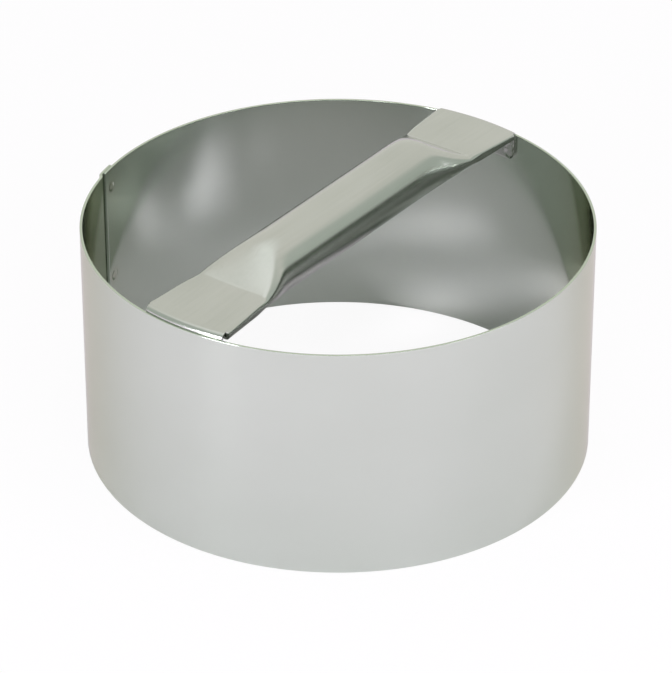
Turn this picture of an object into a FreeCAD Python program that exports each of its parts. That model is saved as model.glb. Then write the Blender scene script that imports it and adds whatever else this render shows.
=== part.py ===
import FreeCAD, Part
import math
import os
import Sketcher

# Round pastry cutter: a strip rolled into a ring and lapped, with a bridge handle made
# from one tube whose ends are pressed flat, creased and turned down inside the ring.
# Millimetres. The origin is the middle of the ring's lower edge, +Z is up, and the
# handle runs along X.

sizes = {
    "ringDiameter": 152.4,      # outside of the ring
    "ringHeight": 73.5,
    "bandSheet": 0.8,           # sheet of the ring
    "lapAngle": 103.9,          # where the strip's inner end stands, from the handle's line
    "lapLength": 5.2,           # how far the outer end runs over the inner one
    "lapGap": 0.08,             # between the two layers, away from the welds
    "joggleStart": 2.4,         # the outer layer steps out between these distances
    "joggleEnd": 0.4,           # from the inner end
    "lapSpotDiameter": 3.0,
    "lapSpotInset": 3.3,        # weld centres from the inner end
    "lapSpotTop": 6.3,          # first weld below the rim
    "lapSpotBottom": 5.2,       # last weld above the lower edge
    "lapSpotCount": 3,          # evenly spaced from the first to the last
    "lapSpotDepth": 0.15,
    "tubeDiameter": 19.0,
    "tubeWall": 0.8,
    "tubeRise": 1.2,            # tube's axis above the rim
    "foldAngle": 13.0,          # half of the arc that each side fold takes of the round tube
    "shoulderLength": 13.0,     # round tube to crease
    "shoulderWidth": 21.0,      # half-flattened section in the middle of the shoulder
    "shoulderThickness": 15.2,
    "shoulderRise": 1.0,        # its middle above the rim
    "shoulderSide": 4.0,
    "padLength": 23.9,          # crease to the ring's inner wall
    "creaseWidth": 25.4,
    "creaseThickness": 3.8,
    "creaseRise": 2.4,          # top of the flat end above the rim, at the crease
    "levelLength": 5.5,         # last stretch of the flat end, which lies level
    "levelWidth": 28.2,
    "endWidth": 29.0,
    "endThickness": 1.72,
    "endRise": 1.75,            # top of the level stretch above the rim
    "trimInset": 0.25,          # lower layer ends this far before the bend
    "bendRadius": 1.8,          # outside of the bend
    "seatGap": 0.04,            # between the flange and the ring
    "flangeWidth": 27.2,
    "flangeDepth": 8.6,         # flange's lower edge below the rim
    "flangeCorner": 2.6,
    "flangeSpotDiameter": 3.4,
    "flangeSpotInset": 2.2,     # weld centres from the flange's side edge
    "flangeSpotDrop": 6.5,      # lower weld below the rim
    "flangeSpotPitch": 1.9,
    "flangeSpotDepth": 0.2,
}

# Places worked out from the sizes
ringOuter = "(Sizes.ringDiameter / 2)"
ringInner = "(Sizes.ringDiameter / 2 - Sizes.bandSheet)"
lapTurn = "Sizes.lapAngle * 1 deg"
lapInner = "(Sizes.ringDiameter / 2 + Sizes.lapGap)"
lapOuter = "(Sizes.ringDiameter / 2 + Sizes.lapGap + Sizes.bandSheet)"
lapSpotHeight = "(Sizes.ringHeight - Sizes.lapSpotTop)"
creaseReach = "(Sizes.ringDiameter / 2 - Sizes.bandSheet - Sizes.padLength)"
tubeReach = f"({creaseReach} - Sizes.shoulderLength)"
shoulderReach = f"({creaseReach} - Sizes.shoulderLength / 2)"
tubeAxis = "(Sizes.ringHeight + Sizes.tubeRise)"
shoulderAxis = "(Sizes.ringHeight + Sizes.shoulderRise)"
creaseAxis = "(Sizes.ringHeight + Sizes.creaseRise - Sizes.creaseThickness / 2)"
levelReach = f"({ringInner} - Sizes.levelLength)"
endTop = "(Sizes.ringHeight + Sizes.endRise)"
endAxis = f"({endTop} - Sizes.endThickness / 2)"
flangeOuter = f"({ringInner} - Sizes.seatGap)"
flangeInner = f"({flangeOuter} - Sizes.tubeWall)"
bendReach = f"({flangeOuter} - Sizes.bendRadius)"
trimReach = f"({bendReach} - Sizes.trimInset)"
flangeLow = "(Sizes.ringHeight - Sizes.flangeDepth)"
flangeTurn = f"asin(Sizes.flangeWidth / 2 / {ringInner})"
flangeSpotTurn = f"({flangeTurn} - Sizes.flangeSpotInset / {flangeInner} * 1 rad)"
flangeSpotLow = "(Sizes.ringHeight - Sizes.flangeSpotDrop)"

doc = FreeCAD.newDocument("RoundPastryCutter")
sheet = doc.addObject("Spreadsheet::Sheet", "Sizes")
for row, (alias, number) in enumerate(sizes.items(), start=1):
    sheet.set(f"A{row}", alias)
    sheet.set(f"B{row}", str(number))
    sheet.setAlias(f"B{row}", alias)
doc.recompute()


def value(expression):
    """The number that an expression on the sheet gives."""
    return float(sheet.evalExpression(expression))


def vector(x, y):
    return FreeCAD.Vector(x, y, 0)


def originPlane(body, role):
    return next(f for f in body.Origin.OriginFeatures if f.Role == role)


def newBody(name):
    body = doc.addObject("PartDesign::Body", name)
    body.Label = name
    return body


def newSketch(body, name, role):
    sketch = body.newObject("Sketcher::SketchObject", name)
    sketch.AttachmentSupport = [(originPlane(body, role), "")]
    sketch.MapMode = "FlatFace"
    return sketch


def radialSketch(body, name, side, angle, radius):
    """A sketch square to a radius of the ring, turned from the handle's line by an angle."""
    sketch = newSketch(body, name, "YZ_Plane")
    turned = FreeCAD.Rotation(FreeCAD.Vector(0, side, 0), value(angle))
    sketch.AttachmentOffset = FreeCAD.Placement(FreeCAD.Vector(), turned)
    sketch.setExpression("AttachmentOffset.Rotation.Angle", angle)
    sketch.setExpression("AttachmentOffset.Base.x", f"{side} * {radius} * sin({angle})")
    sketch.setExpression("AttachmentOffset.Base.z", f"{radius} * cos({angle})")
    return sketch


def dimension(sketch, name, kind, *arguments):
    """A named dimension whose last argument is its expression."""
    expression = arguments[-1]
    constraint = Sketcher.Constraint(kind, *arguments[:-1], value(expression))
    sketch.addConstraint(constraint)
    sketch.renameConstraint(sketch.ConstraintCount - 1, name)
    sketch.setExpression(f"Constraints.{name}", expression)


def joinEnds(sketch, pairs):
    for first, firstEnd, second, secondEnd in pairs:
        sketch.addConstraint(Sketcher.Constraint("Coincident", first, firstEnd, second, secondEnd))


def arcAbout(centre, radius, start, end):
    circle = Part.Circle(centre, FreeCAD.Vector(0, 0, 1), radius)
    return Part.ArcOfCircle(circle, start, end)


origin = (-1, 1)      # a sketch's own origin point


def bandOutline(body):
    """The strip seen from above. Its inner end stands on the sketch's X axis."""
    sketch = newSketch(body, "StripOutline", "XY_Plane")
    turned = FreeCAD.Rotation(FreeCAD.Vector(0, 0, 1), value(lapTurn))
    sketch.AttachmentOffset = FreeCAD.Placement(FreeCAD.Vector(), turned)
    sketch.setExpression("AttachmentOffset.Rotation.Angle", lapTurn)
    radii = [value(r) for r in (ringInner, ringOuter, lapInner, lapOuter)]
    start = value("Sizes.joggleStart")
    end = value("Sizes.joggleEnd")
    lap = value("Sizes.lapLength")

    def onCircle(radius, height):
        return vector(math.sqrt(radius ** 2 - height ** 2), height)

    centre = vector(0, 0)
    wallIn = arcAbout(centre, radii[0], math.asin(start / radii[0]), 2 * math.pi)
    wallOut = arcAbout(centre, radii[1], math.asin(start / radii[1]), 2 * math.pi)
    lapIn = arcAbout(centre, radii[2], -math.asin(lap / radii[2]), math.asin(end / radii[2]))
    lapOut = arcAbout(centre, radii[3], -math.asin(lap / radii[3]), math.asin(end / radii[3]))
    innerEnd = Part.LineSegment(vector(radii[0], 0), vector(radii[1], 0))
    outerEnd = Part.LineSegment(onCircle(radii[2], -lap), onCircle(radii[3], -lap))
    stepIn = Part.LineSegment(onCircle(radii[0], start), onCircle(radii[2], end))
    stepOut = Part.LineSegment(onCircle(radii[1], start), onCircle(radii[3], end))
    sketch.addGeometry([wallIn, wallOut, lapIn, lapOut, innerEnd, outerEnd, stepIn, stepOut], False)
    for arc in range(4):
        sketch.addConstraint(Sketcher.Constraint("Coincident", arc, 3, *origin))
    joinEnds(sketch, [
        (0, 2, 4, 1), (1, 2, 4, 2),
        (2, 1, 5, 1), (3, 1, 5, 2),
        (0, 1, 6, 1), (2, 2, 6, 2),
        (1, 1, 7, 1), (3, 2, 7, 2),
    ])
    sketch.addConstraint(Sketcher.Constraint("PointOnObject", 4, 1, -1))
    sketch.addConstraint(Sketcher.Constraint("Horizontal", 4))
    dimension(sketch, "wallInner", "Radius", 0, ringInner)
    dimension(sketch, "wallOuter", "Radius", 1, ringOuter)
    dimension(sketch, "lapInnerFace", "Radius", 2, lapInner)
    dimension(sketch, "lapOuterFace", "Radius", 3, lapOuter)
    dimension(sketch, "stepStartIn", "DistanceY", *origin, 6, 1, "Sizes.joggleStart")
    dimension(sketch, "stepStartOut", "DistanceY", *origin, 7, 1, "Sizes.joggleStart")
    dimension(sketch, "stepEndIn", "DistanceY", *origin, 6, 2, "Sizes.joggleEnd")
    dimension(sketch, "stepEndOut", "DistanceY", *origin, 7, 2, "Sizes.joggleEnd")
    dimension(sketch, "lapEndIn", "DistanceY", 5, 1, *origin, "Sizes.lapLength")
    dimension(sketch, "lapEndOut", "DistanceY", 5, 2, *origin, "Sizes.lapLength")
    return sketch


def lapSpot(body, name, radius):
    """A weld's circle, on a plane square to the lap at the given radius."""
    sketch = radialSketch(body, name, 1, lapTurn, radius)
    inset = value("Sizes.lapSpotInset")
    height = value(lapSpotHeight)
    spotRadius = value("Sizes.lapSpotDiameter / 2")
    sketch.addGeometry(Part.Circle(vector(-inset, height), FreeCAD.Vector(0, 0, 1), spotRadius), False)
    dimension(sketch, "across", "Diameter", 0, "Sizes.lapSpotDiameter")
    dimension(sketch, "inset", "DistanceX", 0, 3, *origin, "Sizes.lapSpotInset")
    dimension(sketch, "height", "DistanceY", *origin, 0, 3, lapSpotHeight)
    return sketch


def makeRingBand():
    body = newBody("ring_band")
    strip = body.newObject("PartDesign::Pad", "Strip")
    strip.Profile = bandOutline(body)
    strip.setExpression("Length", "Sizes.ringHeight")

    # Each weld runs a quarter of the sheet into both layers and leaves a shallow mark inside
    weld = body.newObject("PartDesign::Pad", "LapWeld")
    weld.Profile = lapSpot(body, "LapWeldSpot", f"({ringOuter} - Sizes.bandSheet / 4)")
    weld.setExpression("Length", "Sizes.lapGap + Sizes.bandSheet / 2")
    mark = body.newObject("PartDesign::Pocket", "LapWeldMark")
    mark.Profile = lapSpot(body, "LapMarkSpot", f"({ringInner} + Sizes.lapSpotDepth)")
    mark.setExpression("Length", "Sizes.bandSheet + Sizes.lapSpotDepth")
    welds = body.newObject("PartDesign::LinearPattern", "LapWelds")
    welds.Originals = [weld, mark]
    welds.Direction = (originPlane(body, "Z_Axis"), [""])
    welds.Reversed = True
    welds.Mode = "Extent"
    welds.setExpression("Length", f"{lapSpotHeight} - Sizes.lapSpotBottom")
    welds.setExpression("Occurrences", "Sizes.lapSpotCount")
    body.Tip = welds
    return body


def sectionSketch(body, name, reach):
    """A sketch square to the handle, at a distance along it."""
    sketch = newSketch(body, name, "YZ_Plane")
    sketch.setExpression("AttachmentOffset.Base.z", reach)
    return sketch


def closeSection(sketch):
    """Ties a section's eight pieces: half a side fold, the top's halves, half a side fold,
    and the same back along the underside, from the widest point on the right."""
    for piece in range(0, 8, 2):
        sketch.addConstraint(Sketcher.Constraint("Tangent", piece, 2, piece + 1, 1))
    joinEnds(sketch, [(piece, 2, (piece + 1) % 8, 1) for piece in range(1, 8, 2)])
    joinEnds(sketch, [(0, 3, 7, 3), (3, 3, 4, 3)])
    sketch.addConstraint(Sketcher.Constraint("Horizontal", 0, 3, 0, 1))
    sketch.addConstraint(Sketcher.Constraint("Horizontal", 3, 3, 3, 2))
    for piece in (1, 5):
        sketch.addConstraint(Sketcher.Constraint("PointOnObject", piece, 2, -2))


def roundSection(body, name, reach, diameter):
    """The round tube, as eight arcs that meet where the flattened tube's pieces do."""
    sketch = sectionSketch(body, name, reach)
    centre = vector(0, value(tubeAxis))
    radius = value(f"{diameter} / 2")
    fold = math.radians(value("Sizes.foldAngle"))
    quarter = math.pi / 2
    corners = [0, fold, quarter, 2 * quarter - fold]
    corners += [2 * quarter + corner for corner in corners] + [4 * quarter]
    sketch.addGeometry([arcAbout(centre, radius, corners[i], corners[i + 1]) for i in range(8)], False)
    joinEnds(sketch, [(i, 2, (i + 1) % 8, 1) for i in range(8)])
    joinEnds(sketch, [(i, 3, 0, 3) for i in range(1, 7)])
    for piece, point in [(0, 3), (7, 3), (1, 2), (5, 2)]:
        sketch.addConstraint(Sketcher.Constraint("PointOnObject", piece, point, -2))
    for piece in (0, 4):
        sketch.addConstraint(Sketcher.Constraint("Horizontal", 0, 3, piece, 1))
    foldHeight = f"{diameter} / 2 * sin(Sizes.foldAngle * 1 deg)"
    dimension(sketch, "axis", "DistanceY", *origin, 0, 3, tubeAxis)
    dimension(sketch, "across", "Diameter", 0, diameter)
    dimension(sketch, "foldRight", "DistanceY", 0, 3, 0, 2, foldHeight)
    dimension(sketch, "foldLeft", "DistanceY", 0, 3, 3, 1, foldHeight)
    dimension(sketch, "underLeft", "DistanceY", 4, 2, 0, 3, foldHeight)
    dimension(sketch, "underRight", "DistanceY", 7, 1, 0, 3, foldHeight)
    return sketch


def ovalSection(body, name, reach, width, thickness, side, middle):
    """The half-flattened tube: two wide arcs joined by two small side arcs, all in halves."""
    sketch = sectionSketch(body, name, reach)
    a = value(f"{width} / 2")
    b = value(f"{thickness} / 2")
    small = value(side)
    wideRadius = (f"((({width}) / 2)^2 + (({thickness}) / 2)^2 - ({width}) * ({side}))"
                  f" / (({thickness}) - 2 * ({side}))")
    wide = value(wideRadius)
    height = value(middle)
    turn = math.atan2(wide - b, a - small)
    right = (vector(a - small, height), small)
    left = (vector(small - a, height), small)
    top = (vector(0, height + b - wide), wide)
    under = (vector(0, height - b + wide), wide)
    quarter = math.pi / 2
    corners = [0, turn, quarter, 2 * quarter - turn]
    corners += [2 * quarter + corner for corner in corners] + [4 * quarter]
    arcs = [right, top, top, left, left, under, under, right]
    sketch.addGeometry([arcAbout(c, r, corners[i], corners[i + 1]) for i, (c, r) in enumerate(arcs)], False)
    closeSection(sketch)
    joinEnds(sketch, [(1, 3, 2, 3), (5, 3, 6, 3)])
    sketch.addConstraint(Sketcher.Constraint("PointOnObject", 1, 3, -2))
    sketch.addConstraint(Sketcher.Constraint("PointOnObject", 5, 3, -2))
    sketch.addConstraint(Sketcher.Constraint("Equal", 0, 3))
    sketch.addConstraint(Sketcher.Constraint("Equal", 1, 5))
    dimension(sketch, "wide", "Radius", 1, wideRadius)
    dimension(sketch, "side", "Radius", 0, side)
    dimension(sketch, "lowCentre", "DistanceY", *origin, 1, 3,
              f"{middle} + ({thickness}) / 2 - {wideRadius}")
    dimension(sketch, "highCentre", "DistanceY", *origin, 5, 3,
              f"{middle} - ({thickness}) / 2 + {wideRadius}")
    return sketch


def flatSection(body, name, reach, width, thickness, middle):
    """The flattened tube: two flats joined by round side folds, all in halves."""
    sketch = sectionSketch(body, name, reach)
    half = value(f"(({width}) - ({thickness})) / 2")
    radius = value(f"({thickness}) / 2")
    height = value(middle)
    quarter = math.pi / 2
    right = vector(half, height)
    left = vector(-half, height)
    sketch.addGeometry([
        arcAbout(right, radius, 0, quarter),
        Part.LineSegment(vector(half, height + radius), vector(0, height + radius)),
        Part.LineSegment(vector(0, height + radius), vector(-half, height + radius)),
        arcAbout(left, radius, quarter, 2 * quarter),
        arcAbout(left, radius, 2 * quarter, 3 * quarter),
        Part.LineSegment(vector(-half, height - radius), vector(0, height - radius)),
        Part.LineSegment(vector(0, height - radius), vector(half, height - radius)),
        arcAbout(right, radius, 3 * quarter, 4 * quarter),
    ], False)
    closeSection(sketch)
    for line in (1, 2, 5):
        sketch.addConstraint(Sketcher.Constraint("Horizontal", line))
    sketch.addConstraint(Sketcher.Constraint("Symmetric", 0, 3, 3, 3, -2))
    dimension(sketch, "fold", "Radius", 0, f"({thickness}) / 2")
    dimension(sketch, "between", "DistanceX", 3, 3, 0, 3, f"({width}) - ({thickness})")
    dimension(sketch, "middle", "DistanceY", *origin, 0, 3, middle)
    return sketch


def flattenedTube(body, kind, prefix, wall):
    """Half of the tube's outside, or with a wall taken off all round, half of its bore.
    The bore ends where the level stretch begins, because there the layers are pressed together."""
    def inside(size):
        return f"({size} - {wall})" if wall else size

    tube = body.newObject(f"PartDesign::{'Pocket' if wall else 'Pad'}", f"{prefix}Tube")
    tube.Profile = roundSection(body, f"{prefix}Middle", "0", inside("Sizes.tubeDiameter"))
    tube.setExpression("Length", tubeReach)
    if wall:
        tube.Reversed = True
    roundEnd = roundSection(body, f"{prefix}Round", tubeReach, inside("Sizes.tubeDiameter"))
    side = "(Sizes.shoulderSide - Sizes.tubeWall)" if wall else "Sizes.shoulderSide"
    oval = ovalSection(body, f"{prefix}Oval", shoulderReach, inside("Sizes.shoulderWidth"),
                       inside("Sizes.shoulderThickness"), side, shoulderAxis)
    creaseSize = (inside("Sizes.creaseWidth"), inside("Sizes.creaseThickness"), creaseAxis)
    crease = flatSection(body, f"{prefix}Crease", creaseReach, *creaseSize)
    flatStart = flatSection(body, f"{prefix}FlatStart", creaseReach, *creaseSize)
    thickness = inside("Sizes.endThickness")
    level = flatSection(body, f"{prefix}Level", levelReach, inside("Sizes.levelWidth"),
                        thickness, endAxis)
    shoulder = body.newObject(f"PartDesign::{kind}", f"{prefix}Shoulder")
    shoulder.Profile = roundEnd
    shoulder.Sections = [oval, crease]
    shoulder.Ruled = bool(wall)
    flat = body.newObject(f"PartDesign::{kind}", f"{prefix}Flat")
    flat.Profile = flatStart
    flat.Ruled = True
    if wall:
        flat.Sections = [level]
    else:
        end = flatSection(body, f"{prefix}End", ringInner, "Sizes.endWidth", thickness, endAxis)
        flat.Sections = [level, end]


def trimLowerLayer(body):
    """Cut the flat end off round the ring, short of the bend."""
    sketch = newSketch(body, "TrimOutline", "XY_Plane")
    around = f"({ringOuter} + Sizes.endWidth)"
    for radius in (trimReach, around):
        sketch.addGeometry(Part.Circle(vector(0, 0), FreeCAD.Vector(0, 0, 1), value(radius)), False)
    joinEnds(sketch, [(0, 3, *origin), (1, 3, *origin)])
    dimension(sketch, "inside", "Radius", 0, trimReach)
    dimension(sketch, "around", "Radius", 1, around)
    trim = body.newObject("PartDesign::Pocket", "Trim")
    trim.Profile = sketch
    trim.Type = "ThroughAll"
    trim.Reversed = True


def bendOutline(body):
    """The upper layer's section on its way from the flat end down the ring's wall."""
    sketch = newSketch(body, "BendOutline", "XZ_Plane")
    startReach = f"({trimReach} - Sizes.tubeWall)"
    startX, bendX, outX, inX = (value(r) for r in (startReach, bendReach, flangeOuter, flangeInner))
    top = value(endTop)
    wall = value("Sizes.tubeWall")
    radius = value("Sizes.bendRadius")
    low = value(flangeLow)
    centre = vector(bendX, top - radius)
    sketch.addGeometry([
        Part.LineSegment(vector(startX, top), vector(bendX, top)),
        arcAbout(centre, radius, 0, math.pi / 2),
        Part.LineSegment(vector(outX, top - radius), vector(outX, low)),
        Part.LineSegment(vector(outX, low), vector(inX, low)),
        Part.LineSegment(vector(inX, low), vector(inX, top - radius)),
        arcAbout(centre, radius - wall, 0, math.pi / 2),
        Part.LineSegment(vector(bendX, top - wall), vector(startX, top - wall)),
        Part.LineSegment(vector(startX, top - wall), vector(startX, top)),
    ], False)
    for joint in [(0, 2, 1, 2), (1, 1, 2, 1), (4, 2, 5, 1), (5, 2, 6, 1)]:
        sketch.addConstraint(Sketcher.Constraint("Tangent", *joint))
    joinEnds(sketch, [(2, 2, 3, 1), (3, 2, 4, 1), (6, 2, 7, 1), (7, 2, 0, 1), (5, 3, 1, 3)])
    for line, lies in [(0, "Horizontal"), (3, "Horizontal"), (6, "Horizontal"),
                       (2, "Vertical"), (4, "Vertical"), (7, "Vertical")]:
        sketch.addConstraint(Sketcher.Constraint(lies, line))
    dimension(sketch, "bendOut", "Radius", 1, "Sizes.bendRadius")
    dimension(sketch, "bendIn", "Radius", 5, "Sizes.bendRadius - Sizes.tubeWall")
    dimension(sketch, "bendReach", "DistanceX", *origin, 1, 3, bendReach)
    dimension(sketch, "bendHeight", "DistanceY", *origin, 1, 3, f"{endTop} - Sizes.bendRadius")
    dimension(sketch, "lowerEdge", "DistanceY", *origin, 3, 1, flangeLow)
    dimension(sketch, "start", "DistanceX", *origin, 7, 1, startReach)
    return sketch


def lowerCorners(shape):
    """The flange's two lower corner edges, which run through its wall."""
    low = value(flangeLow)
    wall = value("Sizes.tubeWall")
    names = []
    for number, edge in enumerate(shape.Edges, start=1):
        box = edge.BoundBox
        flat = abs(box.ZMin - low) < 1e-6 and abs(box.ZMax - low) < 1e-6
        if flat and abs(edge.Length - wall) < 1e-6:
            names.append(f"Edge{number}")
    return names


def weldPair(body, side):
    """Two weld marks that run into each other near a side of the flange, as one recess."""
    name = "FlangeWeldsRight" if side > 0 else "FlangeWeldsLeft"
    depthReach = f"({flangeInner} + Sizes.flangeSpotDepth)"
    sketch = radialSketch(body, f"{name}Outline", side, flangeSpotTurn, depthReach)
    radius = value("Sizes.flangeSpotDiameter / 2")
    low = value(flangeSpotLow)
    high = low + value("Sizes.flangeSpotPitch")
    sketch.addGeometry([
        arcAbout(vector(0, high), radius, 0, math.pi),
        Part.LineSegment(vector(-radius, high), vector(-radius, low)),
        arcAbout(vector(0, low), radius, math.pi, 2 * math.pi),
        Part.LineSegment(vector(radius, low), vector(radius, high)),
    ], False)
    for i in range(4):
        sketch.addConstraint(Sketcher.Constraint("Tangent", i, 2, (i + 1) % 4, 1))
    sketch.addConstraint(Sketcher.Constraint("PointOnObject", 0, 3, -2))
    sketch.addConstraint(Sketcher.Constraint("PointOnObject", 2, 3, -2))
    sketch.addConstraint(Sketcher.Constraint("Equal", 0, 2))
    dimension(sketch, "across", "Radius", 0, "Sizes.flangeSpotDiameter / 2")
    dimension(sketch, "pitch", "DistanceY", 2, 3, 0, 3, "Sizes.flangeSpotPitch")
    dimension(sketch, "lowerSpot", "DistanceY", *origin, 2, 3, flangeSpotLow)
    recess = body.newObject("PartDesign::Pocket", name)
    recess.Profile = sketch
    recess.setExpression("Length", "Sizes.flangeSpotDepth + Sizes.tubeWall")


def makeBridgeHandle():
    body = newBody("bridge_handle")
    flattenedTube(body, "AdditiveLoft", "Tube", "")
    flattenedTube(body, "SubtractiveLoft", "Bore", "2 * Sizes.tubeWall")
    trimLowerLayer(body)

    flange = body.newObject("PartDesign::Revolution", "Flange")
    outline = bendOutline(body)
    flange.Profile = outline
    flange.ReferenceAxis = (outline, ["V_Axis"])
    flange.Midplane = True
    flange.setExpression("Angle", f"2 * {flangeTurn}")
    doc.recompute()
    corners = body.newObject("PartDesign::Fillet", "FlangeCorners")
    corners.Base = (flange, lowerCorners(flange.Shape))
    corners.setExpression("Radius", "Sizes.flangeCorner")
    for side in (1, -1):
        weldPair(body, side)
    doc.recompute()

    mirrored = body.newObject("PartDesign::Mirrored", "BothEnds")
    mirrored.TransformMode = "Whole shape"
    mirrored.MirrorPlane = (originPlane(body, "YZ_Plane"), [""])
    body.Tip = mirrored
    return body


ringBand = makeRingBand()
bridgeHandle = makeBridgeHandle()
doc.recompute()

for item in doc.Objects:
    if "Invalid" in item.State or "Error" in item.State:
        raise RuntimeError(f"{item.Name} failed: {item.State}")
os.makedirs("parts", exist_ok=True)
for piece in (ringBand, bridgeHandle):
    shape = piece.Shape
    if shape.isNull() or not shape.isValid() or len(shape.Solids) != 1:
        raise RuntimeError(f"{piece.Label} is not one valid solid")
    print(piece.Label, round(shape.Volume, 1), shape.BoundBox)
    shape.exportStep(f"parts/{piece.Label}.step")
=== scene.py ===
import math

import bpy
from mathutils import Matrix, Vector


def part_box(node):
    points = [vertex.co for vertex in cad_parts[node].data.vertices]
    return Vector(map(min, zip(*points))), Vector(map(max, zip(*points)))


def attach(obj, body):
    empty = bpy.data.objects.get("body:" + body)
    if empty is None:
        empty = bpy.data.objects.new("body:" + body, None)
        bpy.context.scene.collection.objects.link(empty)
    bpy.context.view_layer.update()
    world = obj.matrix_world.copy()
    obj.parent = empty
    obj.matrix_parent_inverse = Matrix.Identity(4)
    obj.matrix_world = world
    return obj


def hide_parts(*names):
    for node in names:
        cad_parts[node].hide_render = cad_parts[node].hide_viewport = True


mm = 0.001
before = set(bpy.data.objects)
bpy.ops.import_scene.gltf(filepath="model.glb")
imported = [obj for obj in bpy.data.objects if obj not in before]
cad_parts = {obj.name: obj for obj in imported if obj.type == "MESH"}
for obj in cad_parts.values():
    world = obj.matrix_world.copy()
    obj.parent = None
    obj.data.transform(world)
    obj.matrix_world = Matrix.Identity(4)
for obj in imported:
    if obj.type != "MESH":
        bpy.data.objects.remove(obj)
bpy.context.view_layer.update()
print("frame loaded")


# Shader maths: a wrapped socket with the usual operators, and one method for all other nodes
class Wire:
    def __init__(self, nodes, socket):
        self.nodes = nodes
        self.socket = socket

    def __add__(self, other):
        return self.nodes.math("ADD", self, other)

    def __radd__(self, other):
        return self.nodes.math("ADD", self, other)

    def __sub__(self, other):
        return self.nodes.math("SUBTRACT", self, other)

    def __rsub__(self, other):
        return self.nodes.math("SUBTRACT", other, self)

    def __mul__(self, other):
        return self.nodes.math("MULTIPLY", self, other)

    def __rmul__(self, other):
        return self.nodes.math("MULTIPLY", self, other)

    def __truediv__(self, other):
        return self.nodes.math("DIVIDE", self, other)

    def __rtruediv__(self, other):
        return self.nodes.math("DIVIDE", other, self)


class Nodes:
    def __init__(self, tree):
        self.tree = tree

    def add(self, kind, settings=None, values=(), output=0):
        # settings come first, because some change which sockets there are
        node = self.tree.nodes.new(kind)
        for name, setting in (settings or {}).items():
            setattr(node, name, setting)
        pairs = values.items() if isinstance(values, dict) else enumerate(values)
        for place, value in pairs:
            if isinstance(value, Wire):
                self.tree.links.new(value.socket, node.inputs[place])
            else:
                node.inputs[place].default_value = value
        return Wire(self, node.outputs[output])

    def math(self, operation, *values):
        return self.add("ShaderNodeMath", {"operation": operation}, values)

    def mixColour(self, factor, first, second):
        # a Mix node's colour sockets are inputs 6 and 7 and output 2
        return self.add("ShaderNodeMix", {"data_type": "RGBA"}, {0: factor, 6: first, 7: second}, 2)

    def between(self, value, low, high, start=0.0, end=1.0, kind="SMOOTHSTEP"):
        # start at low, end at high
        return self.add("ShaderNodeMapRange", {"interpolation_type": kind}, {
            "Value": value, "From Min": low, "From Max": high, "To Min": start, "To Max": end})

    def place(self, kind="Object"):
        return self.add("ShaderNodeTexCoord", {}, (), kind)

    def axis(self, vector, name):
        return self.add("ShaderNodeSeparateXYZ", {}, [vector], name)

    def noise(self, layer):
        # noise on the piece's own coordinates, with its own number of cells per metre by axis
        scaled = self.add("ShaderNodeMapping", {}, {"Vector": self.place(), "Scale": layer["cells"]})
        return self.add("ShaderNodeTexNoise", {}, {
            "Vector": scaled, "Scale": 1.0, "Detail": layer["detail"],
            "Roughness": layer["grain"]}, "Fac")

    def bump(self, height, finish):
        return self.add("ShaderNodeBump", {}, {
            "Height": height, "Strength": finish["bump"], "Distance": finish["bumpDepth"]})


def newMaterial(name):
    material = bpy.data.materials.new(name)
    material.use_nodes = True
    material.node_tree.nodes.clear()
    return material, Nodes(material.node_tree)


def finishMaterial(nodes, shader):
    output = nodes.tree.nodes.new("ShaderNodeOutputMaterial")
    nodes.tree.links.new(shader.socket, output.inputs["Surface"])


# Finishes. Rolled sheet shows fine streaks round the ring, and drawn tube along the handle
noiseMiddle = 0.5
bandFinish = {
    "light": (0.600, 0.666, 0.588, 1.0),
    "dark": (0.560, 0.625, 0.546, 1.0),
    "edgeTint": (0.845, 0.84, 0.75, 1.0),   # darker and warmer where it is seen edge on
    "straw": (0.52, 0.50, 0.40, 1.0),       # faint heat tint round the welds
    "strawReach": 3.6 * mm,
    "strawAmount": 0.45,
    # share is a layer's part in the colour, and rough its part in the roughness
    "streak": {"cells": (45.0, 45.0, 3600.0), "detail": 3.0, "grain": 0.6, "share": 0.2, "rough": 0.6},
    "cloud": {"cells": (14.0, 14.0, 22.0), "detail": 3.0, "grain": 0.5, "share": 0.5, "rough": 0.4},
    "ripple": {"cells": (26.0, 26.0, 7.0), "detail": 1.0, "grain": 0.5, "share": 0.3},
    "shadeFrom": 0.35,                      # noise where the colour is dark
    "shadeSpan": 0.3,                       # and how much more of it makes it light
    "roughness": 0.13,
    "roughnessSpread": 0.04,
    "anisotropic": 0.92,
    "turn": 0.25,                           # a quarter turn: reflections run up and down the wall
    "bump": 0.05,
    "bumpDepth": 0.01 * mm,
}
handleFinish = {
    "light": (0.62, 0.63, 0.605, 1.0),
    "dark": (0.57, 0.585, 0.555, 1.0),
    # painted shade: a dark colour laid on the handle's underside, standing in for the shade and dark
    # reflections there
    "paintedShade": (0.205, 0.238, 0.190, 1.0),
    "paintedShadeAmount": 0.85,
    "paintedShadeFrom": 0.20,                       # upward part of the surface's direction where the painted shade starts
    "paintedShadeTo": -0.12,                        # and where it is full
    "paintedShadeReach": 72.0 * mm,                 # the bent ends beyond stay bright
    "paintedShadeFade": 1.5 * mm,
    "streak": {"cells": (22.0, 1300.0, 1300.0), "detail": 2.0, "grain": 0.55, "share": 0.3},
    "cloud": {"cells": (30.0, 55.0, 55.0), "detail": 3.0, "grain": 0.5, "share": 0.7},
    "shadeFrom": 0.35,
    "shadeSpan": 0.3,
    "roughness": 0.2,
    "roughnessSpread": 0.10,
    "bump": 0.07,
    "bumpDepth": 0.02 * mm,
}


def shadedColour(nodes, shade, finish):
    return nodes.mixColour((shade - finish["shadeFrom"]) / finish["shadeSpan"],
                           finish["dark"], finish["light"])


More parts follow.
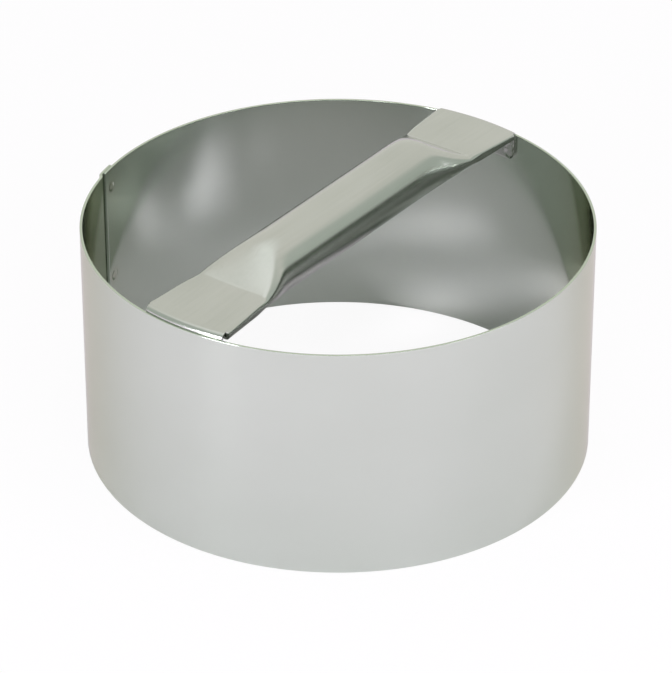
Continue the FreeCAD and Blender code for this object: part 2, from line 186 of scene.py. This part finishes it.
def bandSteelMaterial(welds):
    finish = bandFinish
    material, nodes = newMaterial("bandSteel")
    streak, ripple, cloud = [nodes.noise(finish[name]) for name in ("streak", "ripple", "cloud")]
    shade = (streak * finish["streak"]["share"] + cloud * finish["cloud"]["share"]
             + ripple * finish["ripple"]["share"])
    colour = shadedColour(nodes, shade, finish)

    # nearness to the closest weld
    place = nodes.place()
    nearness = 0.0
    for weld in welds:
        gap = nodes.add("ShaderNodeVectorMath", {"operation": "DISTANCE"}, {0: place, 1: weld}, "Value")
        nearness = nodes.math("MAXIMUM", 1.0 - gap / finish["strawReach"], nearness)
    colour = nodes.mixColour(nearness * finish["strawAmount"], colour, finish["straw"])

    rough = streak * finish["streak"]["rough"] + cloud * finish["cloud"]["rough"] - noiseMiddle
    shader = nodes.add("ShaderNodeBsdfPrincipled", {}, {
        "Base Color": colour,
        "Metallic": 1.0,
        "Roughness": finish["roughness"] + rough * finish["roughnessSpread"],
        "Specular Tint": finish["edgeTint"],
        "Anisotropic": finish["anisotropic"],
        "Anisotropic Rotation": finish["turn"],
        "Normal": nodes.bump(streak, finish),
    })
    finishMaterial(nodes, shader)
    return material


def handleSteelMaterial():
    finish = handleFinish
    material, nodes = newMaterial("handleSteel")
    streak = nodes.noise(finish["streak"])
    cloud = nodes.noise(finish["cloud"])
    shade = streak * finish["streak"]["share"] + cloud * finish["cloud"]["share"]
    colour = shadedColour(nodes, shade, finish)

    # painted shade: the colour is darkened on the underside, but not on the bent ends
    upward = nodes.axis(nodes.place("Normal"), "Z")
    under = nodes.between(upward, finish["paintedShadeFrom"], finish["paintedShadeTo"], 0.0, finish["paintedShadeAmount"])
    reach = nodes.math("ABSOLUTE", nodes.axis(nodes.place(), "X"))
    bridge = nodes.between(reach, finish["paintedShadeReach"], finish["paintedShadeReach"] + finish["paintedShadeFade"],
                           1.0, 0.0, "LINEAR")
    colour = nodes.mixColour(under * bridge, colour, finish["paintedShade"])

    shader = nodes.add("ShaderNodeBsdfPrincipled", {}, {
        "Base Color": colour,
        "Metallic": 1.0,
        "Roughness": finish["roughness"] + (cloud - noiseMiddle) * finish["roughnessSpread"],
        "Normal": nodes.bump(streak, finish),
    })
    finishMaterial(nodes, shader)
    return material


# What both pieces need
def smooth(low, high, value):
    share = min(max((value - low) / (high - low), 0.0), 1.0)
    return share * share * (3.0 - 2.0 * share)


def spread(stretches):
    # places along stretches of (start, end, cells), end to end
    places = [stretches[0][0]]
    for start, end, cells in stretches:
        places += [start + (end - start) * (i + 1) / cells for i in range(cells)]
    return places


def addShapedGrid(name, alongPlaces, acrossPlaces, place):
    # a unit grid, each of whose points is moved to where its column and row belong
    columns = len(alongPlaces) - 1
    rows = len(acrossPlaces) - 1
    bpy.ops.object.select_all(action="DESELECT")
    bpy.ops.mesh.primitive_grid_add(x_subdivisions=columns, y_subdivisions=rows, size=1.0)
    piece = bpy.context.object
    piece.name = name
    piece.data.name = name
    for vertex in piece.data.vertices:
        column = round((vertex.co.x + 0.5) * columns)
        row = round((vertex.co.y + 0.5) * rows)
        vertex.co = place(alongPlaces[column], acrossPlaces[row])
    return piece


def applyModifier(piece, kind, settings):
    modifier = piece.modifiers.new(kind.title(), kind)
    for name, setting in settings.items():
        setattr(modifier, name, setting)
    bpy.ops.object.modifier_apply(modifier=modifier.name)


def finishEdges(piece, width):
    applyModifier(piece, "BEVEL", {
        "width": width, "segments": 2, "limit_method": "ANGLE", "angle_limit": math.radians(50),
        "use_clamp_overlap": True})
    bpy.ops.object.shade_smooth_by_angle(angle=math.radians(35))


weldShape = {
    "dish": (0.72, 1.02),       # in radii: where the dish's side starts and ends
    "rimIn": (0.95, 1.1),
    "rimOut": (1.1, 1.35),
    "rimHeight": 0.25,          # of the dish's depth
}


def weldProfile(distance, radius, depth):
    # a dished mark with a low raised rim
    def risen(side):
        start, end = weldShape[side]
        return smooth(start * radius, end * radius, distance)

    return depth * (1.0 - risen("dish") - weldShape["rimHeight"] * (risen("rimIn") - risen("rimOut")))


def pushOut(vertex, moved):
    # to another distance from the ring's axis
    reach = math.hypot(vertex.co.x, vertex.co.y)
    vertex.co.x *= moved / reach
    vertex.co.y *= moved / reach


# Ring
band = {
    "sheet": 0.8 * mm,
    "lapAngle": 103.9,          # where the strip's inner end stands, from the handle's line
    "lapLength": 5.2 * mm,      # outer end over the inner one
    "lapGap": 0.08 * mm,
    "stepStart": 2.5 * mm,      # the outer layer steps out between these, from the inner end
    "stepEnd": 1.1 * mm,
    "fineLength": 9.0 * mm,     # finely divided stretch at each end of the strip
    "fineColumns": 26,
    "columns": 300,
    "rows": 36,
    "edgeRow": 0.3 * mm,        # narrow rows, which keep the wall's shading flat up to its edges
    "edge": 0.11 * mm,          # rounding of the cut edges
    "welds": 3,
    "weldInset": 3.3 * mm,      # weld centres from the inner end
    "weldTop": 6.3 * mm,        # the first below the rim
    "weldPitch": 31.0 * mm,
    "weldRadius": 1.5 * mm,
    "weldDepth": 0.13 * mm,
    "weldAside": 2.6 * mm,      # half sizes of the field of finer faces round a weld
    "weldAbove": 3.2 * mm,
    "weldCuts": 4,
    "weldReach": 3.0 * mm,      # no point further aside is moved by a weld
}


def weldHeights(height):
    return [height - band["weldTop"] - band["weldPitch"] * i for i in range(band["welds"])]


def weldPlaces():
    # weld marks on the ring's inner face
    _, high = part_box("ring_band")
    reach = high.x - band["sheet"]
    angle = math.radians(band["lapAngle"]) - band["weldInset"] / reach
    return [(reach * math.cos(angle), reach * math.sin(angle), z) for z in weldHeights(high.z)]


def refineRoundWelds(piece, aside, heights):
    # finer faces round each weld, on both layers. The object is in object mode at both ends
    bpy.ops.object.mode_set(mode="EDIT")
    bpy.ops.mesh.select_all(action="DESELECT")
    bpy.ops.object.mode_set(mode="OBJECT")
    for face in piece.data.polygons:
        above = min(abs(face.center.z - z) for z in heights)
        face.select = abs(aside(face.center)) < band["weldAside"] and above < band["weldAbove"]
    bpy.ops.object.mode_set(mode="EDIT")
    bpy.ops.mesh.subdivide(number_cuts=band["weldCuts"])
    bpy.ops.mesh.select_all(action="SELECT")
    bpy.ops.mesh.normals_make_consistent(inside=False)
    bpy.ops.object.mode_set(mode="OBJECT")


def pressWelds(piece, aside, heights, inner, lapInner):
    # dishes in the lap's inner and outer faces
    for vertex in piece.data.vertices:
        beside = aside(vertex.co)
        if abs(beside) > band["weldReach"]:
            continue
        nearest = min(math.hypot(beside, vertex.co.z - z) for z in heights)
        depth = weldProfile(nearest, band["weldRadius"], band["weldDepth"])
        reach = math.hypot(vertex.co.x, vertex.co.y)
        if reach < inner + band["sheet"] / 4:
            pushOut(vertex, reach + depth)
        elif reach > lapInner + band["sheet"] * 3 / 4:
            pushOut(vertex, reach - depth)


def makeBand():
    low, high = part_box("ring_band")
    radius = max(high.x, high.y, -low.x, -low.y)
    height = high.z
    inner = radius - band["sheet"]
    lapInner = radius + band["lapGap"]
    endAngle = math.radians(band["lapAngle"])
    weldAngle = endAngle - band["weldInset"] / inner
    heights = weldHeights(height)

    # distance along the strip is counted from the inner end
    wallLength = 2 * math.pi * inner
    fine = band["fineLength"]
    edgeRow = band["edgeRow"]
    along = spread([
        (-band["lapLength"], fine - band["lapLength"], band["fineColumns"]),
        (fine - band["lapLength"], wallLength - fine, band["columns"]),
        (wallLength - fine, wallLength, band["fineColumns"]),
    ])
    up = spread([(0.0, edgeRow, 1), (edgeRow, height - edgeRow, band["rows"]),
                 (height - edgeRow, height, 1)])

    def rolled(distance, z):
        step = smooth(band["stepEnd"], band["stepStart"], distance)
        reach = lapInner + (inner - lapInner) * step
        angle = endAngle + distance / inner
        return (reach * math.cos(angle), reach * math.sin(angle), z)

    def asideOfWelds(point):
        return (math.atan2(point.y, point.x) - weldAngle) * inner

    piece = addShapedGrid("ring", along, up, rolled)
    refineRoundWelds(piece, asideOfWelds, heights)
    sample = piece.data.polygons[len(piece.data.polygons) // 2]
    outward = sample.normal.dot(Vector((sample.center.x, sample.center.y, 0)))
    applyModifier(piece, "SOLIDIFY", {
        "thickness": band["sheet"], "offset": 1.0 if outward > 0 else -1.0})
    pressWelds(piece, asideOfWelds, heights, inner, lapInner)
    finishEdges(piece, band["edge"])
    return piece


# Handle
handle = {
    "tubeWidth": 19.0 * mm,
    "wall": 0.8 * mm,
    "tubeRise": 1.2 * mm,       # tube's axis above the rim
    "shoulderStart": 37.5 * mm,
    "crease": 51.5 * mm,
    "halfWidth": 23.2 * mm,     # half-flattened section, in the middle of the shoulder
    "halfThickness": 11.3 * mm,
    "halfRise": 1.0 * mm,
    "halfSide": 4.9 * mm,
    "creaseWidth": 25.4 * mm,
    "creaseThickness": 3.8 * mm,
    "creaseTop": 2.4 * mm,      # tops are above the rim
    "levelReach": 69.9 * mm,
    "levelWidth": 28.2 * mm,
    "endWidth": 29.0 * mm,
    "endThickness": 1.72 * mm,
    "endTop": 1.75 * mm,
    "sideShare": 0.499,         # a side fold's radius, of the thickness: just short of half round
    "foldThickness": 2.5 * mm,  # the two folded sides of the flat end stay thicker, and bulge below
    "foldReach": 3.4 * mm,
    "foldPower": 3.6,           # 2 is a round fold, more is squarer
    "foldStart": 6.0 * mm,      # beyond the crease, where the folds are fully square
    "soften": 0.5 * mm,         # half of the stretch that rounds the crease
    "startSoften": 3.2 * mm,    # and of the one that rounds the shoulder's start
    "softenEnd": 3.0 * mm,      # before the crease, where the first of them holds
    "softenSteps": 3,
    "seatGap": 0.04 * mm,       # between the flange and the ring
    "bendRadius": 1.8 * mm,
    "trimInset": 0.25 * mm,     # the lower layer ends this far before the bend
    "flangeHalf": 13.5 * mm,
    "flangeDepth": 8.6 * mm,
    "flangeCorner": 2.6 * mm,
    "edge": 0.12 * mm,
    "fineHalf": 1.2 * mm,       # half of the finely divided stretch at the crease
    "tubeCells": 12,
    "shoulderCells": 26,
    "creaseCells": 14,
    "flatCells": 14,
    "levelCells": 10,
    "topCells": 34,             # from the middle of the top to the flange's side
    "foldCells": 6,             # from there to the widest point
    "bendRows": 8,
    "flangeRows": 28,
    "mergeGap": 0.004 * mm,
    "markAside": 11.4 * mm,     # weld marks on the flange
    "markDrop": 6.5 * mm,
    "markPitch": 1.9 * mm,
    "markRadius": 1.75 * mm,
    "markDepth": 0.2 * mm,
    "markTop": 1.2 * mm,        # no point higher is moved by a mark
}


def handleSeat():
    # heights and distances from the ring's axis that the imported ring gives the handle
    h = handle
    _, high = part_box("ring_band")
    seat = {"rim": high.z, "inner": high.x - band["sheet"]}
    seat["outer"] = seat["inner"] - h["seatGap"]
    seat["bend"] = seat["outer"] - h["bendRadius"]
    seat["trim"] = seat["bend"] - h["trimInset"]
    seat["top"] = high.z + h["endTop"]
    seat["drop"] = seat["top"] - h["bendRadius"] - (seat["rim"] - h["flangeDepth"])
    seat["quarterTurn"] = h["bendRadius"] * math.pi / 2
    return seat


def parabola(start, middle, end, share):
    # the parabola through three values, at 0, a half and 1
    return (start * (2 * share - 1) * (share - 1) + middle * 4 * share * (1 - share)
            + end * share * (2 * share - 1))


def sectionSizes(reach, seat):
    # width, thickness, side radius, middle's height and lift of the pressed tube, at a distance
    h = handle
    start, crease = h["shoulderStart"], h["crease"]
    creaseMiddle = h["creaseTop"] - h["creaseThickness"] / 2
    if reach <= crease:
        share = max(0.0, (reach - start) / (crease - start))
        tubeSide = h["sideShare"] * h["tubeWidth"]
        creaseSide = h["sideShare"] * h["creaseThickness"]
        return [
            parabola(h["tubeWidth"], h["halfWidth"], h["creaseWidth"], share),
            parabola(h["tubeWidth"], h["halfThickness"], h["creaseThickness"], share),
            parabola(tubeSide, h["halfSide"], creaseSide, share),
            seat["rim"] + parabola(h["tubeRise"], h["halfRise"], creaseMiddle, share),
            0.0,
        ]
    endMiddle = h["endTop"] - h["endThickness"] / 2
    share = min(1.0, (reach - crease) / (h["levelReach"] - crease))
    beyond = max(0.0, (reach - h["levelReach"]) / (seat["inner"] - h["levelReach"]))
    width = h["creaseWidth"] + (h["levelWidth"] - h["creaseWidth"]) * share
    thickness = h["creaseThickness"] + (h["endThickness"] - h["creaseThickness"]) * share
    lift = (h["foldThickness"] - h["endThickness"]) * share     # of the lower layer, between its folds
    return [
        width + (h["endWidth"] - h["levelWidth"]) * beyond,
        thickness + lift,
        h["sideShare"] * (thickness + lift),
        seat["rim"] + creaseMiddle + (endMiddle - creaseMiddle) * share - lift / 2,
        lift,
    ]


def quarterPlace(width, thickness, side, share):
    # a point of the oval's quarter, by its share of the length from the top to the side
    half = width / 2
    top = thickness / 2
    wide = (half ** 2 + top ** 2 - width * side) / (thickness - 2 * side)
    turn = math.atan2(wide - top, half - side)
    wideLength = wide * (math.pi / 2 - turn)
    length = share * (wideLength + side * turn)
    if length <= wideLength:
        angle = math.pi / 2 - length / wide
        return wide * math.cos(angle), top - wide + wide * math.sin(angle)
    angle = turn - (length - wideLength) / side
    return half - side + side * math.cos(angle), side * math.sin(angle)


def softenedSizes(reach, seat):
    # the sizes averaged over a short stretch, which rounds the shoulder's start and the crease
    h = handle
    early = 1 - smooth(h["shoulderStart"], h["crease"] - h["softenEnd"], reach)
    soft = h["soften"] + (h["startSoften"] - h["soften"]) * early
    steps = h["softenSteps"]
    offsets = [soft * i / steps for i in range(-steps, steps + 1)]
    last = seat["trim"] + h["fineHalf"]
    sizes = [sectionSizes(min(reach + offset, last), seat) for offset in offsets]
    return [sum(values) / len(offsets) for values in zip(*sizes)]


def pressed(reach, share, seat):
    # a point of the pressed tube. Share goes round the section: 0 is the middle of the
    # underside, 1 the widest point, 2 the middle of the top, and 4 the underside again
    h = handle
    width, thickness, side, middle, lift = softenedSizes(reach, seat)
    under = share < 1.0 or share > 3.0
    fromTop = min(share, 4.0 - share) if under else abs(2.0 - share)
    y, z = quarterPlace(width, thickness, side, fromTop)
    corner = y - (width / 2 - side)
    if reach > h["crease"] and corner > 0:
        power = h["foldPower"]
        fuller = ((corner / side) ** power + (max(z, 0) / side) ** power) ** (-1 / power)
        fuller = 1 + (fuller - 1) * smooth(h["crease"], h["crease"] + h["foldStart"], reach)
        y = width / 2 - side + corner * fuller
        z *= fuller
    if under:
        z -= lift * (1 - smooth(width / 2 - h["foldReach"], width / 2 - h["foldReach"] / 3, y))
    y = y if share < 2.0 else -y
    z = middle - z if under else middle + z
    # beyond the crease, sections bow more and more with the ring
    follow = smooth(h["crease"], seat["trim"], reach)
    if follow > 0:
        reach -= follow * (reach - math.sqrt(reach ** 2 - y ** 2))
    return (reach, y, z)


def bent(length, side, seat):
    # a point of the upper layer beyond the trim: level, round the bend, and down the wall
    h = handle
    y, sideTop = side
    past = length - h["trimInset"]
    if past <= 0:
        reach, z = seat["trim"] + length, seat["top"]
    elif past <= seat["quarterTurn"]:
        angle = past / h["bendRadius"]
        reach = seat["bend"] + h["bendRadius"] * math.sin(angle)
        z = seat["top"] - h["bendRadius"] * (1 - math.cos(angle))
    else:
        aside = max(0.0, abs(y) - (h["flangeHalf"] - h["flangeCorner"]))
        corner = h["flangeCorner"] - math.sqrt(max(0.0, h["flangeCorner"] ** 2 - aside ** 2))
        down = (past - seat["quarterTurn"]) * (seat["drop"] - corner) / seat["drop"]
        reach, z = seat["outer"], seat["top"] - h["bendRadius"] - down
    return (math.sqrt(reach ** 2 - y ** 2), y, z + sideTop - seat["top"])


def roundPlaces(seat):
    # shares round the section, and those of the top that run on into the flange
    h = handle
    width, _, side, _, _ = sectionSizes(seat["trim"], seat)
    quarter = (width / 2 - side) + side * math.pi / 2
    seam = h["flangeHalf"] / quarter
    oneQuarter = spread([(0.0, seam, h["topCells"]), (seam, 1.0, h["foldCells"])])
    around = oneQuarter + [2.0 - share for share in reversed(oneQuarter[:-1])]
    around += [4.0 - share for share in reversed(around[:-1])]
    upper = oneQuarter[:h["topCells"] + 1]
    return around, [2.0 - share for share in reversed(upper[1:])] + [2.0 + share for share in upper]


def pressMarks(piece, seat):
    # overlapping weld marks on the flange's inner face
    h = handle
    marks = [seat["rim"] - h["markDrop"], seat["rim"] - h["markDrop"] + h["markPitch"]]
    for vertex in piece.data.vertices:
        reach = math.hypot(vertex.co.x, vertex.co.y)
        depthIn = seat["outer"] - reach
        if not h["wall"] / 2 <= depthIn <= 1.3 * h["wall"] or vertex.co.z > seat["rim"] - h["markTop"]:
            continue
        aside = abs(vertex.co.y) - h["markAside"]
        nearest = min(math.hypot(aside, vertex.co.z - z) for z in marks)
        pushOut(vertex, reach + weldProfile(nearest, h["markRadius"], h["markDepth"]))


def makeHandle():
    h = handle
    seat = handleSeat()
    start, crease, level, near = h["shoulderStart"], h["crease"], h["levelReach"], h["fineHalf"]
    along = spread([
        (0.0, start, h["tubeCells"]),
        (start, crease - near, h["shoulderCells"]),
        (crease - near, crease + near, h["creaseCells"]),
        (crease + near, level - near, h["flatCells"]),
        (level - near, seat["trim"], h["levelCells"]),
    ])
    around, upper = roundPlaces(seat)
    tube = addShapedGrid("handle", along, around, lambda reach, share: pressed(reach, share, seat))

    # the upper layer runs on, bends down and lies against the ring
    sides = [pressed(seat["trim"], share, seat)[1:] for share in upper]
    bendEnd = h["trimInset"] + seat["quarterTurn"]
    path = spread([
        (0.0, h["trimInset"], 1),
        (h["trimInset"], bendEnd, h["bendRows"]),
        (bendEnd, bendEnd + seat["drop"], h["flangeRows"]),
    ])
    addShapedGrid("tongue", path, sides, lambda length, side: bent(length, side, seat))
    tube.select_set(True)
    bpy.context.view_layer.objects.active = tube
    bpy.ops.object.join()
    bpy.ops.object.mode_set(mode="EDIT")
    bpy.ops.mesh.select_all(action="SELECT")
    bpy.ops.mesh.remove_doubles(threshold=h["mergeGap"])
    bpy.ops.mesh.normals_make_consistent(inside=False)
    bpy.ops.object.mode_set(mode="OBJECT")
    highest = max(tube.data.polygons, key=lambda face: face.center.z)
    if highest.normal.z < 0:
        tube.data.flip_normals()
    applyModifier(tube, "MIRROR", {"use_axis": (True, False, False), "merge_threshold": h["mergeGap"]})
    applyModifier(tube, "SOLIDIFY", {"thickness": h["wall"], "offset": -1.0, "use_even_offset": True})
    pressMarks(tube, seat)
    finishEdges(tube, h["edge"])
    return tube


def placePiece(piece, node, material):
    piece.data.materials.clear()
    piece.data.materials.append(material)
    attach(piece, "root")
    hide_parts(node)


bandPiece = makeBand()
print("ring rolled")
handlePiece = makeHandle()
print("handle pressed")
placePiece(bandPiece, "ring_band", bandSteelMaterial(weldPlaces()))
placePiece(handlePiece, "bridge_handle", handleSteelMaterial())
print("steel finished")

# Floor, which the camera sees nearly white and the steel sees slightly lilac
floorLook = {
    "radius": 3.0,
    "sides": 96,
    "colour": (0.885, 0.79, 0.912, 1.0),
    "seen": 0.92,
}


def addFloor():
    bpy.ops.object.select_all(action="DESELECT")
    bpy.ops.mesh.primitive_circle_add(
        vertices=floorLook["sides"], radius=floorLook["radius"], fill_type="NGON")
    floor = bpy.context.object
    floor.name = "floor"
    material, nodes = newMaterial("paleFloor")
    diffuse = nodes.add("ShaderNodeBsdfDiffuse", {}, {"Color": floorLook["colour"]})
    glow = nodes.add("ShaderNodeEmission", {}, {"Strength": 1.0})
    toCamera = nodes.add("ShaderNodeLightPath", {}, (), "Is Camera Ray")
    finishMaterial(nodes, nodes.add(
        "ShaderNodeMixShader", {}, [toCamera * floorLook["seen"], diffuse, glow]))
    floor.data.materials.append(material)


# Camera and light. Azimuths are from the camera's side, to its right, in degrees
view = {
    "azimuth": -54.0,
    "elevation": 31.479,
    "distance": 1171.1 * mm,
    "target": (-0.617 * mm, 0.0, 33.21 * mm),
    "focal": 3897.0,            # in pixels of the frame
    "frame": (672, 673),
    "sensor": 36.0,
    "farthest": 20.0,
}


def turned(x, y, z):
    # from the camera's own axes, X right and Y away, to the part's
    turn = math.radians(view["azimuth"])
    return Vector((x * math.cos(turn) - y * math.sin(turn), x * math.sin(turn) + y * math.cos(turn), z))


def towards(azimuth, elevation):
    side = math.radians(azimuth)
    rise = math.radians(elevation)
    return turned(math.sin(side) * math.cos(rise), -math.cos(side) * math.cos(rise), math.sin(rise))


def placeFacing(item, place, back):
    # puts a camera or light at a place, with its back turned this way
    bpy.context.scene.collection.objects.link(item)
    item.location = place
    item.rotation_mode = "QUATERNION"
    item.rotation_quaternion = back.to_track_quat("Z", "Y")


def addCamera():
    data = bpy.data.cameras.new("camera")
    data.sensor_width = view["sensor"]
    data.lens = view["focal"] * view["sensor"] / max(view["frame"])
    data.clip_end = view["farthest"]
    camera = bpy.data.objects.new("camera", data)
    back = towards(0.0, view["elevation"])
    placeFacing(camera, turned(*view["target"]) + back * view["distance"], back)
    bpy.context.scene.camera = camera


# glow is a soft box's brightness, as the steel sees it
softBoxes = {
    "leftFront": {"azimuth": -48, "elevation": 13, "distance": 0.9, "size": (0.24, 0.18),
                  "glow": 27.0, "colour": (0.95, 0.93, 1.0)},
    "rightFront": {"azimuth": 60, "elevation": 24, "distance": 0.9, "size": (0.50, 0.50),
                   "glow": 3.4, "colour": (0.98, 0.965, 1.0)},
    "front": {"azimuth": 4, "elevation": 26, "distance": 1.6, "size": (1.5, 0.6),
              "glow": 3.4, "colour": (1.0, 0.975, 1.0)},
}


def addSoftBox(name, box):
    data = bpy.data.lights.new(name, "AREA")
    data.shape = "RECTANGLE"
    data.size, data.size_y = box["size"]
    data.energy = box["glow"] * math.pi * data.size * data.size_y
    data.color = box["colour"]
    away = towards(box["azimuth"], box["elevation"])
    placeFacing(bpy.data.objects.new(name, data), away * box["distance"], away)


# Narrow lights, which draw soft bright pools on the floor inside the ring, mirrored in its wall.
# spot is in the camera's own axes, and bright is what the pool adds to the floor's brightness
poolDistance = 0.9
poolSource = 0.01           # the light's own radius, which softens the pool
poolSpread = 1.35           # the cone at the floor, of the pool's radius
pools = {
    "poolMiddle": {"azimuth": 54, "elevation": 62, "spot": (0.037, 0.028), "radius": 0.011, "bright": 0.76},
    "poolRight": {"azimuth": 54, "elevation": 82, "spot": (0.053, 0.014), "radius": 0.010, "bright": 0.68},
    "poolFront": {"azimuth": 54, "elevation": 75, "spot": (0.039, -0.015), "radius": 0.006, "bright": 0.40},
    "poolBack": {"azimuth": -100, "elevation": 73, "spot": (0.025, 0.062), "radius": 0.009, "bright": 0.65},
    "poolLeft": {"azimuth": -126, "elevation": 76, "spot": (-0.011, 0.030), "radius": 0.011, "bright": 0.62},
    "poolStripe": {"azimuth": -110, "elevation": 74, "spot": (0.012, 0.0505), "radius": 0.0045,
                   "bright": 0.42},
}


def addPool(name, pool):
    data = bpy.data.lights.new(name, "SPOT")
    data.spot_size = 2 * math.atan(pool["radius"] * poolSpread / poolDistance)
    data.spot_blend = 1.0
    data.shadow_soft_size = poolSource
    # the power is shared over the whole sphere, and the floor sends its part back evenly
    onFloor = pool["bright"] / floorLook["colour"][0] / math.sin(math.radians(pool["elevation"]))
    data.energy = onFloor * 4 * math.pi ** 2 * poolDistance ** 2
    away = towards(pool["azimuth"], pool["elevation"])
    placeFacing(bpy.data.objects.new(name, data), turned(*pool["spot"], 0) + away * poolDistance, away)


# A low grey card to the right, seen only in the steel
cardLook = {
    "azimuth": 100,
    "distance": 0.50,
    "width": 0.60,
    "height": 0.07,
    "colour": (0.36, 0.39, 0.34, 1.0),
}


def addCard():
    bpy.ops.object.select_all(action="DESELECT")
    bpy.ops.mesh.primitive_plane_add(size=1.0)
    card = bpy.context.object
    card.name = "greyCard"
    middle = towards(cardLook["azimuth"], 0.0) * cardLook["distance"]
    along = towards(cardLook["azimuth"] + 90.0, 0.0) * cardLook["width"]
    for vertex in card.data.vertices:
        up = cardLook["height"] * (vertex.co.y + 0.5)
        vertex.co = middle + along * vertex.co.x + Vector((0, 0, up))
    material, nodes = newMaterial("greyCard")
    finishMaterial(nodes, nodes.add("ShaderNodeBsdfDiffuse", {}, {"Color": cardLook["colour"]}))
    card.data.materials.append(material)
    card.visible_camera = False


room = {
    "dim": (0.50, 0.555, 0.495, 1.0),
    "bright": (0.79, 0.79, 0.727, 1.0),     # the pale wall behind
    "azimuth": 180.0,
    "elevation": 18.0,
    "from": 0.30,                           # cosine of the angle from its middle, edge and core
    "to": 0.45,
    "overhead": (1.06, 1.08, 1.04, 1.0),    # soft light above, brightest at the top
    "overheadFrom": 0.70,                   # sine of its lowest elevation
}


def lightRoom():
    world = bpy.data.worlds.new("studio")
    world.use_nodes = True
    bpy.context.scene.world = world
    tree = world.node_tree
    tree.nodes.clear()
    nodes = Nodes(tree)
    direction = nodes.place("Generated")
    facing = nodes.add("ShaderNodeVectorMath", {"operation": "DOT_PRODUCT"}, {
        0: direction, 1: towards(room["azimuth"], room["elevation"])}, "Value")
    behind = nodes.between(facing, room["from"], room["to"])
    colour = nodes.mixColour(behind, room["dim"], room["bright"])
    above = nodes.between(nodes.axis(direction, "Z"), room["overheadFrom"], 1.0)
    colour = nodes.mixColour(above, colour, room["overhead"])
    background = nodes.add("ShaderNodeBackground", {}, {"Color": colour, "Strength": 1.0})
    output = tree.nodes.new("ShaderNodeOutputWorld")
    tree.links.new(background.socket, output.inputs["Surface"])


addFloor()
addCamera()
addCard()
for name, box in softBoxes.items():
    addSoftBox(name, box)
for name, pool in pools.items():
    addPool(name, pool)
lightRoom()
bpy.context.scene.view_settings.view_transform = "Standard"
print("stage lit")
